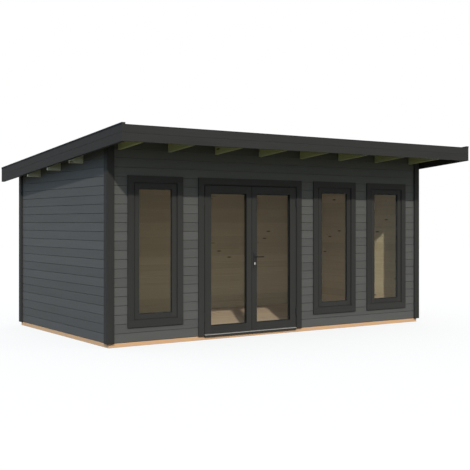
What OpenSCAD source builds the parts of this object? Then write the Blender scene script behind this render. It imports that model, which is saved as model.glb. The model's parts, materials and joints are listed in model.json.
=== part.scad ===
// Garden shed: a glazed cabin of stacked wall boards under one sloping roof with a deep front canopy.
// +Z is up, +X runs along the front from left to right, and the front faces -Y.
// The origin is on the ground, under the middle of the roof's outline.

/* [Walls] */
// Depth over the outside of the walls
wall_d = 2970; // [2400:10:3600]
// Thickness of the wall boards
wall_t = 44; // [34:1:58]
// Height of the front wall above its door and windows, up to the roof boards
over_head = 524; // [400:1:800]
// Width of wall from each front corner to the casing of the end windows
corner_pier_w = 261; // [150:1:800]
// Width of wall between the casings of the left window and the door
left_pier_w = 233; // [50:1:800]
// Width of wall between the casings of the door and the middle window
middle_pier_w = 217; // [50:1:800]
// Width of wall between the casings of the middle and the right window
right_pier_w = 224; // [50:1:800]

/* [Base and floor] */
// Height of the bearers that carry the walls
bearer_h = 50; // [40:1:90]
// Width of each bearer
bearer_w = 70; // [64:1:120]
// Distance that the bearers stand back from the wall faces
bearer_inset = 5; // [0:1:8]
// Width of each floor joist
joist_w = 45; // [30:1:70]
// Number of floor joists
joist_count = 7; // [4:1:12]
// Thickness of the floor boards
floor_t = 20; // [15:1:28]
// Room left round the floor boards to swell
floor_gap = 5; // [2:1:10]

/* [Corner trims] */
// Thickness of the corner boards
trim_t = 26; // [15:1:40]
// Width of a corner board's face
trim_w = 98; // [70:1:130]

/* [Roof] */
// Fall of the roof from front to back, in degrees
roof_pitch = 4.4; // [2:0.1:6]
// Reach of the canopy in front of the front wall
overhang_front = 830; // [300:10:1000]
// Reach of the roof behind the back wall
overhang_back = 200; // [100:10:400]
// Reach of the roof beyond each side wall
overhang_side = 230; // [120:10:400]
// Width of each canopy rafter
rafter_w = 45; // [35:1:70]
// Upright depth of each canopy rafter
rafter_h = 120; // [90:1:150]
// Number of canopy rafters
rafter_count = 8; // [4:1:10]
// Distance from a side wall's face to the first rafter
rafter_inset = 131; // [80:1:200]
// Width of each purlin
purlin_w = 45; // [35:1:80]
// Upright depth of each purlin
purlin_h = 195; // [150:1:230]
// Number of purlins
purlin_count = 3; // [2:1:4]
// Play beside a beam in its notch through a wall
notch_gap = 1; // [0.5:0.5:3]
// Play between the sloping pieces and what they lie on
seat_gap = 0.3; // [0.2:0.1:0.5]
// Thickness of the roof boards
deck_t = 19; // [15:1:28]
// Thickness of the roof covering
felt_t = 4; // [2:1:8]
// Thickness of the side fascias
side_fascia_t = 45; // [20:1:60]
// Thickness of the front and back fascias
fascia_t = 27; // [18:1:40]
// Depth of the front and side fascias below the underside of the roof boards
fascia_drop = 160; // [125:1:220]
// Depth of the back fascia below the underside of the roof boards
back_fascia_drop = 60; // [30:1:140]
// Rise of the front fascia above the underside of the roof boards
front_fascia_rise = 33; // [25:1:60]
// Rise of the side fascias above the underside of the roof boards
side_fascia_rise = 53; // [30:1:80]

/* [Windows] */
// Clear width inside a window's frame
window_w = 604; // [450:1:900]
// Height of the clear window opening above the ground
window_sill = 325; // [250:1:900]
// Height of the top of the window and door openings above the ground
head_h = 2026; // [1800:1:2400]
// Thickness of the boards that line an opening
frame_t = 24; // [16:1:40]
// Width of the casing boards on the wall's face
casing_w = 84; // [60:1:95]
// Thickness of the casing boards
casing_t = 20; // [16:1:28]
// Distance that the casing stands back from the edge of the opening
casing_reveal = 10; // [8:1:14]
// Distance that the stop behind a sash or a door leaf reaches into the opening
stop_w = 14; // [10:1:20]
// Thickness of that stop
stop_t = 18; // [12:1:25]
// Distance from the casing's face back to the face of a sash or a door leaf
leaf_set = 14; // [10:1:16]
// Shadow gap round a window sash
sash_gap = 5; // [2:1:8]
// Width of a sash's members
sash_w = 62; // [45:1:90]
// Thickness of a sash
sash_t = 44; // [40:1:60]
// Thickness of the glass
glass_t = 6; // [4:1:14]
// Distance from the face of a sash back to its glass
sash_glass_recess = 16; // [10:1:24]
// Depth of the groove that holds the glass
glass_lap = 10; // [6:1:15]

/* [Door] */
// Clear width inside the door frame
door_w = 1510; // [1200:1:1900]
// Height of the threshold above the bearers
threshold_h = 22; // [15:1:40]
// Thickness of the door leaves
leaf_t = 54; // [44:1:60]
// Gap between a leaf and the frame, above, below and at the hinges
leaf_gap = 6; // [5:0.5:8]
// Gap between the two leaves
meeting_gap = 6; // [5:0.5:10]
// Slope cut off the meeting edges so that they pass as they swing
meeting_bevel = 4; // [3:0.5:8]
// Gap between a closed leaf and the stop behind it
stop_gap = 5; // [5:0.5:8]
// Width of the stiles that carry the hinges
hinge_stile_w = 98; // [80:1:120]
// Width of the stiles that meet in the middle
meeting_stile_w = 82; // [70:1:110]
// Height of the top and bottom rails
rail_w = 100; // [80:1:180]
// Distance from the face of a leaf back to its glass
door_glass_recess = 34; // [16:1:36]

/* [Hinges and handle] */
// Room between a hinge's knuckles and the sides of the groove that they stand in
knuckle_room = 1; // [0.5:0.5:2]
// Height of one knuckle
knuckle_h = 48; // [30:1:70]
// Diameter of a hinge pin
pin_d = 8; // [6:0.5:9]
// Play between a pin and its bore, all round
pin_play = 0.3; // [0.2:0.1:0.5]
// Play between the upper and the lower knuckle
knuckle_play = 0.5; // [0.3:0.1:1]
// Distance from the end of a leaf to the middle of its hinge
hinge_inset = 215; // [120:1:350]
// Height of the lever above the ground
lever_h = 1070; // [950:1:1150]
// Distance from the lever down to the lock
lock_drop = 92; // [72:1:100]
// Width of the handle's plates
plate_w = 38; // [30:1:44]
// Height of the handle's plates
plate_h = 225; // [190:1:260]
// Thickness of the handle's plates
plate_t = 8; // [5:1:10]
// Diameter of the lever's spindle
spindle_d = 12; // [9:0.5:14]
// Diameter of the lever's grip
grip_d = 17; // [14:0.5:20]
// Reach of the grip beyond the spindle
grip_l = 118; // [90:1:140]
// Distance from a plate's face out to the middle of the grip
grip_out = 42; // [30:1:50]
// Diameter of the lock's cylinder
lock_d = 17; // [14:0.5:20]
// Distance that the lock stands out from its plates
lock_proud = 3; // [1:0.5:6]

/* [Hidden] */
// Smoothness of the round pieces
$fn = 48;
// Distance that a cut runs on past the faces it opens
overrun = 10;

// Colours of the finishes
wall_paint = "#6e6e6c";
trim_paint = "#4a4a4a";
bare_pine = "#d8a878";
treated_pine = "#8a8a62";
black_metal = "#222222";
bright_metal = "#c8c8c8";
clear_glass = "#9fb4bc";
felt_grey = "#3c3c3c";

// The front from left to right: pier, window, pier, door, pier, window, pier, window, pier
casing_reach = casing_reveal + casing_w;
window_outer_w = window_w + 2 * casing_reach;
door_outer_w = door_w + 2 * casing_reach;
openings_w = 3 * window_outer_w + door_outer_w;
wall_w = 2 * corner_pier_w + left_pier_w + middle_pier_w + right_pier_w + openings_w;
side_x = wall_w / 2;
window_left_x = -side_x + corner_pier_w + window_outer_w / 2;
door_x = window_left_x + window_outer_w / 2 + left_pier_w + door_outer_w / 2;
window_middle_x = door_x + door_outer_w / 2 + middle_pier_w + window_outer_w / 2;
window_right_x = side_x - corner_pier_w - window_outer_w / 2;

// Height of the front wall's outer face, from the ground up to the roof boards
wall_h = head_h + over_head;

// The roof's outline, and where the walls stand under it
roof_w = wall_w + 2 * overhang_side;
roof_d = overhang_front + wall_d + overhang_back;
roof_front_y = -roof_d / 2;
roof_back_y = roof_d / 2;
front_y = roof_front_y + overhang_front;
back_y = front_y + wall_d;
deck_x = roof_w / 2 - side_fascia_t;
deck_front_y = roof_front_y + fascia_t;
deck_back_y = roof_back_y - fascia_t;

// The inside of the walls, and the bearers under them
room_x = side_x - wall_t;
room_front_y = front_y + wall_t;
room_back_y = back_y - wall_t;
bearer_x = side_x - bearer_inset;
bearer_front_y = front_y + bearer_inset;
bearer_back_y = back_y - bearer_inset;
between_front_y = bearer_front_y + bearer_w;
between_back_y = bearer_back_y - bearer_w;

// Depths behind the front wall's face; what stands in front of it is below zero
leaf_front = leaf_set - casing_t;
sash_back = leaf_front + sash_t;
leaf_back = leaf_front + leaf_t;
window_frame_back = sash_back + stop_t;
door_stop_front = leaf_back + stop_gap;
door_frame_back = door_stop_front + stop_t;

// The glazed opening of a sash, measured from its middle
sash_light_x = window_w / 2 - sash_gap - sash_w;
sash_light_bottom = window_sill + sash_gap + sash_w;
sash_light_top = head_h - sash_gap - sash_w;

// Heights and widths in the doorway, measured from its middle
threshold_top = bearer_h + threshold_h;
leaf_bottom = threshold_top + leaf_gap;
leaf_top = head_h - leaf_gap;
jamb_x = door_w / 2;
leaf_outer_x = jamb_x - leaf_gap;
leaf_inner_x = meeting_gap / 2;
door_glass_left = leaf_inner_x + meeting_stile_w;
door_glass_right = leaf_outer_x - hinge_stile_w;
door_rough_x = jamb_x + frame_t;

// The hinge axis stands in the groove between the casing and the leaf
groove_w = casing_reveal + leaf_gap;
knuckle_d = groove_w - 2 * knuckle_room;
axis_x = leaf_outer_x + groove_w / 2;
axis_y = leaf_front - groove_w / 2;
hinge_heights = [leaf_bottom + hinge_inset, leaf_top - hinge_inset];

// The lever and the lock stand in the middle of the meeting stile
lever_x = leaf_inner_x + meeting_stile_w / 2;
lock_h = lever_h - lock_drop;
plate_middle_h = (lever_h + lock_h) / 2;
outer_plate_face = leaf_front - plate_t;
inner_plate_face = leaf_back + plate_t;

// Height of the underside of the roof boards
function roof_z(y) = wall_h - (y - front_y) * tan(roof_pitch);

// Place of one of several pieces that divide a length into equal bays
function divide(i, count, first, last) = first + (i + 1) * (last - first) / (count + 1);

function purlin_y(i) = divide(i, purlin_count, front_y + wall_t / 2, back_y - wall_t / 2);

function joist_x(i) = divide(i, joist_count, bearer_w - bearer_x, bearer_x - bearer_w);

// The first and last rafters keep their distance from the side walls
function rafter_x(i) =
    let (end_x = side_x - rafter_inset - rafter_w / 2)
    -end_x + i * 2 * end_x / (rafter_count - 1);

// A block between two corners
module block(low, high) {
    translate(low)
        cube(high - low);
}

// A length of board that lies along the roof's slope, with upright ends
module along_roof(x0, x1, y0, y1, low, high) {
    translate([x0, 0, 0])
        rotate([90, 0, 90])
            linear_extrude(x1 - x0)
                polygon([
                    [y0, roof_z(y0) + low], [y1, roof_z(y1) + low],
                    [y1, roof_z(y1) + high], [y0, roof_z(y0) + high]
                ]);
}

// An upright wall from the bearers to the sloping underside of the roof
module wall_to_roof(x0, x1, y0, y1) {
    translate([x0, 0, 0])
        rotate([90, 0, 90])
            linear_extrude(x1 - x0)
                polygon([
                    [y0, bearer_h], [y1, bearer_h],
                    [y1, roof_z(y1) - seat_gap], [y0, roof_z(y0) - seat_gap]
                ]);
}

// Notches through the front wall for the canopy rafters
module rafter_notches() {
    half = rafter_w / 2 + notch_gap;
    for (i = [0 : rafter_count - 1])
        along_roof(rafter_x(i) - half, rafter_x(i) + half, front_y - overrun, room_front_y + overrun,
            -rafter_h - 2 * seat_gap, overrun);
}

// Notches through a side wall for the purlins
module purlin_notches(x0, x1) {
    half = purlin_w / 2 + notch_gap;
    for (i = [0 : purlin_count - 1])
        along_roof(x0 - overrun, x1 + overrun, purlin_y(i) - half, purlin_y(i) + half,
            -purlin_h - 2 * seat_gap, overrun);
}

// A rectangular ring of boards round an opening, seen from the front
module ring(half_w, bottom, top, member, y0, y1) {
    difference() {
        block([-half_w - member, y0, bottom - member], [half_w + member, y1, top + member]);
        block([-half_w, y0 - overrun, bottom], [half_w, y1 + overrun, top]);
    }
}

// The doorway's boards: two uprights that stand on the bearer, and a head across them
module arch(half_w, member, y0, y1) {
    difference() {
        block([-half_w - member, y0, bearer_h], [half_w + member, y1, head_h + member]);
        block([-half_w, y0 - overrun, bearer_h - overrun], [half_w, y1 + overrun, head_h]);
    }
}

// Moves a shape drawn round the middle of the doorway to its place in the front wall
module at_door() {
    translate([door_x, front_y, 0])
        children();
}

// Draws a right-hand door piece, or its mirror image on the left
module door_side(side) {
    at_door()
        mirror([side == "left" ? 1 : 0, 0, 0])
            children();
}

// Bearers, joists and floor

module front_bearer() {
    color(bare_pine)
        block([-bearer_x, bearer_front_y, 0], [bearer_x, between_front_y, bearer_h]);
}

module back_bearer() {
    color(bare_pine)
        block([-bearer_x, between_back_y, 0], [bearer_x, bearer_back_y, bearer_h]);
}

module side_bearer(x0, x1) {
    color(bare_pine)
        block([x0, between_front_y, 0], [x1, between_back_y, bearer_h]);
}

module floor_joists() {
    color(bare_pine)
        for (i = [0 : joist_count - 1])
            block([joist_x(i) - joist_w / 2, between_front_y, 0],
                [joist_x(i) + joist_w / 2, between_back_y, bearer_h]);
}

module floor_boards() {
    color(bare_pine)
        difference() {
            block([-room_x + floor_gap, room_front_y + floor_gap, bearer_h],
                [room_x - floor_gap, room_back_y - floor_gap, bearer_h + floor_t]);
            at_door()
                block([-door_rough_x - floor_gap, 0, bearer_h - overrun],
                    [door_rough_x + floor_gap, door_frame_back + floor_gap, bearer_h + floor_t + overrun]);
        }
}

// Walls

module window_hole(x) {
    half = window_w / 2 + frame_t;
    translate([x, front_y, 0])
        block([-half, -overrun, window_sill - frame_t], [half, wall_t + overrun, head_h + frame_t]);
}

module front_wall_left() {
    color(wall_paint)
        difference() {
            wall_to_roof(-side_x, door_x - door_rough_x, front_y, room_front_y);
            window_hole(window_left_x);
            rafter_notches();
        }
}

module front_wall_right() {
    color(wall_paint)
        difference() {
            wall_to_roof(door_x + door_rough_x, side_x, front_y, room_front_y);
            window_hole(window_middle_x);
            window_hole(window_right_x);
            rafter_notches();
        }
}

module front_wall_header() {
    color(wall_paint)
        difference() {
            wall_to_roof(door_x - door_rough_x, door_x + door_rough_x, front_y, room_front_y);
            at_door()
                block([-door_rough_x - overrun, -overrun, bearer_h - overrun],
                    [door_rough_x + overrun, wall_t + overrun, head_h + frame_t]);
            rafter_notches();
        }
}

module back_wall() {
    color(wall_paint)
        wall_to_roof(-side_x, side_x, room_back_y, back_y);
}

module side_wall(x0, x1) {
    color(wall_paint)
        difference() {
            wall_to_roof(x0, x1, room_front_y, room_back_y);
            purlin_notches(x0, x1);
        }
}

// A corner board of two faces; out_y is -1 at the front and 1 at the back
module corner_trim(side, corner_y, out_y) {
    inner_x = side_x + trim_t - trim_w;
    outer_x = side_x + trim_t;
    inner_y = corner_y + out_y * (trim_t - trim_w);
    outer_y = corner_y + out_y * trim_t;
    color(trim_paint)
        mirror([side == "left" ? 1 : 0, 0, 0])
            intersection() {
                wall_to_roof(inner_x, outer_x, min(inner_y, outer_y), max(inner_y, outer_y));
                linear_extrude(roof_z(roof_front_y))
                    polygon([
                        [inner_x, corner_y], [inner_x, outer_y], [outer_x, outer_y],
                        [outer_x, inner_y], [side_x, inner_y], [side_x, corner_y]
                    ]);
            }
}

// Windows

// The lining of a window opening with its casing in front and its stop behind
module window_frame(x) {
    half = window_w / 2;
    color(trim_paint)
        translate([x, front_y, 0])
            union() {
                ring(half, window_sill, head_h, frame_t, 0, window_frame_back);
                ring(half + casing_reveal, window_sill - casing_reveal, head_h + casing_reveal, casing_w,
                    -casing_t, 0);
                ring(half - stop_w, window_sill + stop_w, head_h - stop_w, stop_w, sash_back,
                    window_frame_back);
            }
}

// A fixed sash: four members with a groove for the glass
module window_sash(x) {
    color(trim_paint)
        translate([x, front_y, 0])
            difference() {
                ring(sash_light_x, sash_light_bottom, sash_light_top, sash_w, leaf_front, sash_back);
                sash_pane();
            }
}

module window_glass(x) {
    color(clear_glass)
        translate([x, front_y, 0])
            sash_pane();
}

// A sheet of glass that reaches into the groove on all four sides of an opening
module pane(x0, x1, bottom, top, recess) {
    block([x0 - glass_lap, leaf_front + recess, bottom - glass_lap],
        [x1 + glass_lap, leaf_front + recess + glass_t, top + glass_lap]);
}

// The glass of a sash
module sash_pane() {
    pane(-sash_light_x, sash_light_x, sash_light_bottom, sash_light_top, sash_glass_recess);
}

// The glass of a door leaf
module door_pane() {
    pane(door_glass_left, door_glass_right, leaf_bottom + rail_w, leaf_top - rail_w, door_glass_recess);
}

// Doorway

module door_frame() {
    color(trim_paint)
        at_door()
            union() {
                arch(jamb_x, frame_t, 0, door_frame_back);
                difference() {
                    block([-jamb_x - casing_reach, -casing_t, bearer_h],
                        [jamb_x + casing_reach, 0, head_h + casing_reach]);
                    block([-jamb_x - casing_reveal, -casing_t - overrun, bearer_h - overrun],
                        [jamb_x + casing_reveal, overrun, head_h + casing_reveal]);
                }
                difference() {
                    block([-jamb_x, door_stop_front, threshold_top], [jamb_x, door_frame_back, head_h]);
                    block([-jamb_x + stop_w, door_stop_front - overrun, threshold_top - overrun],
                        [jamb_x - stop_w, door_frame_back + overrun, head_h - stop_w]);
                }
            }
}

module door_threshold() {
    color(bright_metal)
        at_door()
            block([-jamb_x, -casing_t, bearer_h], [jamb_x, door_frame_back, threshold_top]);
}

// The lower half of a hinge: a knuckle with its pin, on a neck that is fixed to the frame
module hinge_pin(height) {
    translate([axis_x, axis_y, height - knuckle_h - knuckle_play / 2]) {
        cylinder(d = knuckle_d, h = knuckle_h);
        cylinder(d = pin_d, h = 2 * knuckle_h + knuckle_play);
        block([jamb_x - axis_x, 0, 0], [casing_reveal + jamb_x - axis_x - pin_play, -axis_y, knuckle_h]);
    }
}

module door_hinge_pins() {
    color(black_metal)
        for (side = ["left", "right"])
            door_side(side)
                for (height = hinge_heights)
                    hinge_pin(height);
}

// The upper half of a hinge: a bored knuckle on a neck that is fixed to the edge of the leaf
module knuckle(height) {
    translate([axis_x, axis_y, height + knuckle_play / 2])
        difference() {
            union() {
                cylinder(d = knuckle_d, h = knuckle_h);
                block([leaf_outer_x - axis_x, 0, 0], [0, groove_w - pin_d / 2, knuckle_h]);
            }
            translate([0, 0, -overrun])
                cylinder(d = pin_d + 2 * pin_play, h = knuckle_h + 2 * overrun);
        }
}

module door_knuckles(side) {
    color(black_metal)
        door_side(side)
            for (height = hinge_heights)
                knuckle(height);
}

// A door leaf: stiles and rails with a groove for the glass, and a sloped meeting edge
module door_leaf(side) {
    color(trim_paint)
        door_side(side)
            difference() {
                translate([0, 0, leaf_bottom])
                    linear_extrude(leaf_top - leaf_bottom)
                        polygon([
                            [leaf_inner_x, leaf_front], [leaf_outer_x, leaf_front],
                            [leaf_outer_x, leaf_back], [leaf_inner_x + meeting_bevel, leaf_back]
                        ]);
                block([door_glass_left, leaf_front - overrun, leaf_bottom + rail_w],
                    [door_glass_right, leaf_back + overrun, leaf_top - rail_w]);
                door_pane();
            }
}

module door_glass(side) {
    color(clear_glass)
        door_side(side)
            door_pane();
}

// Handle and lock, through the meeting stile of the right leaf

// A round bar through the door from front to back
module through_bar(height, d, y0, y1) {
    translate([lever_x, y0, height])
        rotate([-90, 0, 0])
            cylinder(d = d, h = y1 - y0);
}

module right_door_leaf() {
    color(trim_paint)
        difference() {
            door_leaf("right");
            at_door() {
                through_bar(lever_h, spindle_d + 2 * pin_play, leaf_front - overrun, leaf_back + overrun);
                through_bar(lock_h, lock_d + 2 * pin_play, leaf_front - overrun, leaf_back + overrun);
            }
        }
}

// A plate with round ends, bored for the spindle and the lock
module handle_plate(y0, y1) {
    straight = (plate_h - plate_w) / 2;
    difference() {
        union() {
            block([lever_x - plate_w / 2, y0, plate_middle_h - straight],
                [lever_x + plate_w / 2, y1, plate_middle_h + straight]);
            for (end = [-straight, straight])
                through_bar(plate_middle_h + end, plate_w, y0, y1);
        }
        through_bar(lever_h, spindle_d + 2 * pin_play, y0 - overrun, y1 + overrun);
        through_bar(lock_h, lock_d + 2 * pin_play, y0 - overrun, y1 + overrun);
    }
}

module handle_plates() {
    color(black_metal)
        at_door() {
            handle_plate(outer_plate_face, leaf_front);
            handle_plate(leaf_back, inner_plate_face);
        }
}

module door_lock() {
    color(bright_metal)
        at_door()
            through_bar(lock_h, lock_d, outer_plate_face - lock_proud, inner_plate_face + lock_proud);
}

// A spindle through the door with a grip at each end that points to the hinges
module door_lever() {
    color(black_metal)
        at_door() {
            through_bar(lever_h, spindle_d, outer_plate_face - grip_out, inner_plate_face + grip_out);
            for (y = [outer_plate_face - grip_out, inner_plate_face + grip_out])
                translate([lever_x, y, lever_h]) {
                    sphere(d = grip_d);
                    rotate([0, 90, 0])
                        cylinder(d = grip_d, h = grip_l);
                    translate([grip_l, 0, 0])
                        sphere(d = grip_d);
                }
        }
}

// Roof

module canopy_rafters() {
    color(treated_pine)
        for (i = [0 : rafter_count - 1])
            along_roof(rafter_x(i) - rafter_w / 2, rafter_x(i) + rafter_w / 2, deck_front_y,
                purlin_y(0) - purlin_w / 2, -rafter_h - seat_gap, -seat_gap);
}

module purlins() {
    color(treated_pine)
        for (i = [0 : purlin_count - 1])
            along_roof(-deck_x, deck_x, purlin_y(i) - purlin_w / 2, purlin_y(i) + purlin_w / 2,
                -purlin_h - seat_gap, -seat_gap);
}

module roof_boards() {
    color(treated_pine)
        along_roof(-deck_x, deck_x, deck_front_y, deck_back_y, 0, deck_t);
}

module roof_covering() {
    color(felt_grey)
        along_roof(-deck_x, deck_x, deck_front_y, roof_back_y, deck_t + seat_gap,
            deck_t + seat_gap + felt_t);
}

module front_fascia() {
    edge_z = roof_z(roof_front_y);
    color(trim_paint)
        block([-deck_x, roof_front_y, edge_z - fascia_drop],
            [deck_x, deck_front_y, edge_z + front_fascia_rise]);
}

module back_fascia() {
    color(trim_paint)
        along_roof(-deck_x, deck_x, deck_back_y, roof_back_y, -back_fascia_drop, deck_t);
}

module side_fascia(x0, x1) {
    color(trim_paint)
        along_roof(x0, x1, roof_front_y, roof_back_y, -fascia_drop, side_fascia_rise);
}

front_bearer();
back_bearer();
side_bearer(-bearer_x, bearer_w - bearer_x);  // left_bearer
side_bearer(bearer_x - bearer_w, bearer_x);  // right_bearer
floor_joists();
floor_boards();
front_wall_left();
front_wall_right();
front_wall_header();
back_wall();
side_wall(-side_x, -room_x);  // left_wall
side_wall(room_x, side_x);  // right_wall
corner_trim("left", front_y, -1);  // front_left_corner_trim
corner_trim("right", front_y, -1);  // front_right_corner_trim
corner_trim("left", back_y, 1);  // back_left_corner_trim
corner_trim("right", back_y, 1);  // back_right_corner_trim
window_frame(window_left_x);  // left_window_frame
window_sash(window_left_x);  // left_window_sash
window_glass(window_left_x);  // left_window_glass
window_frame(window_middle_x);  // middle_window_frame
window_sash(window_middle_x);  // middle_window_sash
window_glass(window_middle_x);  // middle_window_glass
window_frame(window_right_x);  // right_window_frame
window_sash(window_right_x);  // right_window_sash
window_glass(window_right_x);  // right_window_glass
door_frame();
door_threshold();
door_hinge_pins();
door_leaf("left");  // left_door_leaf
door_glass("left");  // left_door_glass
door_knuckles("left");  // left_door_knuckles
right_door_leaf();
door_glass("right");  // right_door_glass
door_knuckles("right");  // right_door_knuckles
handle_plates();
door_lock();
door_lever();
canopy_rafters();
purlins();
roof_boards();
roof_covering();
front_fascia();
back_fascia();
side_fascia(-roof_w / 2, -deck_x);  // left_fascia
side_fascia(deck_x, roof_w / 2);  // right_fascia
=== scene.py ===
# %% [markdown]
# # A garden shed, board by board
# The frame that comes in is the shed at its real size: walls, roof, windows and doors as plain solids, on
# bodies that can move. This lesson dresses it. Boards, beads and fittings become meshes of their own, and
# every surface gets a finish made of shader nodes. The first step loads the frame and keeps its box,
# because the dressed shed must not outgrow it.

# %% Load the frame
import json
import math
import random

import bmesh
import bpy
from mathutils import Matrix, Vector


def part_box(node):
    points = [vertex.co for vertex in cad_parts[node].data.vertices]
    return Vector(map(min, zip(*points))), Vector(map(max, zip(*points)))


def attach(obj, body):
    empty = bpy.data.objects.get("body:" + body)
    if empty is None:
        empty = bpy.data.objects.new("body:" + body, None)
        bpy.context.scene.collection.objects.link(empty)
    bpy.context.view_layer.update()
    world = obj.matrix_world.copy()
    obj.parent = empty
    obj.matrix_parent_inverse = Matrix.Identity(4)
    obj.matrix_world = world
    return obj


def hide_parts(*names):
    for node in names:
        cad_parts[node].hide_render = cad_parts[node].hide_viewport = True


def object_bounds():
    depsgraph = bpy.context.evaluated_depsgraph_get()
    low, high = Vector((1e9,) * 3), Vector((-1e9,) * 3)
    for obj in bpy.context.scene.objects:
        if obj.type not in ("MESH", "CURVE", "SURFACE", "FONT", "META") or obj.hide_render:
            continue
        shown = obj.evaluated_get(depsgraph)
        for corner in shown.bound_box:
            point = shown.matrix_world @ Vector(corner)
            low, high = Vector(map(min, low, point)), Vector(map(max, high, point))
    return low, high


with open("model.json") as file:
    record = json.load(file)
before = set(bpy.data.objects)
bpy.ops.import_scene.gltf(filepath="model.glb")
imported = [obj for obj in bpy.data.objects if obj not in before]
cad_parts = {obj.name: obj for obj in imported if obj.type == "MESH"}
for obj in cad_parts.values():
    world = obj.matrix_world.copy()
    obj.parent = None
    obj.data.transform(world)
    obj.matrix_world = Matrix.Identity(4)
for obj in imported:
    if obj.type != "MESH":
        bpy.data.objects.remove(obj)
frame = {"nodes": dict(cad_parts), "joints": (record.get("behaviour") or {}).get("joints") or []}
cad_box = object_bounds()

print("box:", [round(value, 3) for corner in cad_box for value in corner])

# %% [markdown]
# ## The camera
# The shed is seen from the left of its front, at eye height, with its upright edges upright. A level
# camera keeps them so, and a small shift moves the picture down. Tilting it would be easier to aim, but the
# walls would lean.

# %% Set up the camera
CAMERA_AT = (-7.3413, -10.9255, 1.539)
CAMERA_TURN = math.radians(-33.962)
LENS_MM = 67.38
SENSOR_MM = 36
SHIFT_DOWN = -0.0272

scene = bpy.context.scene
scene.view_settings.view_transform = "Standard"


def add_object(name, data):
    """Puts a camera, a lamp or a mesh into the scene."""
    made = bpy.data.objects.new(name, data)
    scene.collection.objects.link(made)
    return made


camera_data = bpy.data.cameras.new("camera")
camera_data.lens = LENS_MM
camera_data.sensor_width = SENSOR_MM
camera_data.shift_y = SHIFT_DOWN
camera = add_object("camera", camera_data)
camera.location = CAMERA_AT
camera.rotation_euler = (math.pi / 2, 0, CAMERA_TURN)
scene.camera = camera
print("camera", round(math.hypot(*CAMERA_AT[:2]), 2), "m from the middle of the shed")

# %% [markdown]
# ## Shader nodes in one line
# Every finish below is a small tree of shader nodes. Nodes can be placed by hand in the editor, but a
# helper that makes a node, sets it and fills its inputs in one call keeps each finish short to read.

# %% Helpers for shader nodes
def empty_tree(owner):
    """Turns on the nodes of a material or a world, and clears them."""
    owner.use_nodes = True
    owner.node_tree.nodes.clear()
    return owner.node_tree


def fill_inputs(node, inputs):
    """Sets each input to a value, or links it to an output; a node stands for its first output."""
    for name, value in inputs.items():
        if isinstance(value, bpy.types.Node):
            value = value.outputs[0]
        if isinstance(value, bpy.types.NodeSocket):
            node.id_data.links.new(value, node.inputs[name])
        else:
            node.inputs[name].default_value = value


def add_node(tree, kind, inputs=None, **settings):
    """Adds a node with its settings and inputs."""
    made = tree.nodes.new("ShaderNode" + kind)
    for name, value in settings.items():
        setattr(made, name, value)
    fill_inputs(made, inputs or {})
    return made


print("node helpers ready")

# %% Helpers for values
SEEN_RAYS = ("Camera", "Glossy", "Transmission")


def any_ray(tree, first, *others):
    """1 for a ray of any of these kinds, else 0."""
    rays = add_node(tree, "LightPath").outputs
    found = rays[f"Is {first} Ray"]
    for other in others:
        found = add_node(tree, "Math", {0: found, 1: rays[f"Is {other} Ray"]}, operation="MAXIMUM")
    return found


def weigh(tree, *parts, start=0.0):
    """Adds up values, each with its weight."""
    for value, weight in parts:
        start = add_node(tree, "Math", {0: value, 1: weight, 2: start}, operation="MULTIPLY_ADD")
    return start


def around(tree, middle, *parts):
    """Lets values with weights move a middle value up and down."""
    return weigh(tree, *parts, start=middle - sum(weight for _, weight in parts) / 2)


def ramp(tree, value, *stops):
    """Turns a value into a colour between two stops, each a place and a colour."""
    made = add_node(tree, "ValToRGB", {0: value})
    for element, (at, colour) in zip(made.color_ramp.elements, stops):
        element.position = at
        element.color = (*colour, 1)
    return made


print("value helpers ready")

# %% [markdown]
# ## Sun and sky
# The shed stands in low sun from the front left: the canopy throws its shadow over the top of the front
# wall, and light falls through the glass onto the floor. One sun lamp makes those shadows. A plain sky
# fills them, a little bluer on the left. Where it is seen directly it is white, so the picture keeps a
# white ground.

# %% Light the shed
SUN_HEADING = Vector((0.81, 1.40, -1.0))
SUN_STRENGTH = 1.95
SUN_COLOUR = (1.0, 0.96, 0.90)
SUN_WIDTH = math.radians(1.4)
SKY_LEFT = (0.44, 0.63, 0.88)
SKY_RIGHT = (0.69, 0.73, 0.71)
SKY_STRENGTH = 1.25
WHITE = (1, 1, 1, 1)

sun_data = bpy.data.lights.new("sun", "SUN")
sun_data.energy = SUN_STRENGTH
sun_data.color = SUN_COLOUR
sun_data.angle = SUN_WIDTH
sun = add_object("sun", sun_data)
sun.rotation_euler = SUN_HEADING.to_track_quat("-Z", "Y").to_euler()

sky = bpy.data.worlds.new("sky")
tree = empty_tree(sky)
heading = add_node(tree, "TexCoord").outputs["Generated"]
heading_x = add_node(tree, "SeparateXYZ", {0: heading})
from_left = weigh(tree, (heading_x, 1.0), start=1.0)
sky_tint = ramp(tree, from_left, (0.0, SKY_LEFT), (1.0, SKY_RIGHT))
fill = add_node(tree, "Background", {"Color": sky_tint, "Strength": SKY_STRENGTH})
white_ground = add_node(tree, "Background", {"Color": WHITE, "Strength": 1})
sky_mix = add_node(tree, "MixShader", {0: any_ray(tree, *SEEN_RAYS), 1: fill, 2: white_ground})
add_node(tree, "OutputWorld", {"Surface": sky_mix})
scene.world = sky
print("sun stands", round(math.degrees(math.asin(-SUN_HEADING.normalized().z))), "degrees high")

# %% [markdown]
# ## The pale floor
# The floor is only there to carry the shadow. It could be a plane with a grey colour, but then its far edge
# would show against the white. A disc that glows a little where it is seen stays as white as the sky and
# still darkens where the shed keeps the sun off.

# %% Lay the floor
FLOOR_RADIUS = 40
FLOOR_SIDES = 128
FLOOR_DROP = -0.001
FLOOR_GLOW = 0.76
FLOOR_SEEN = (0.92, 0.92, 0.92, 1)
FLOOR_BOUNCE = (0.145, 0.145, 0.105, 1)

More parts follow.
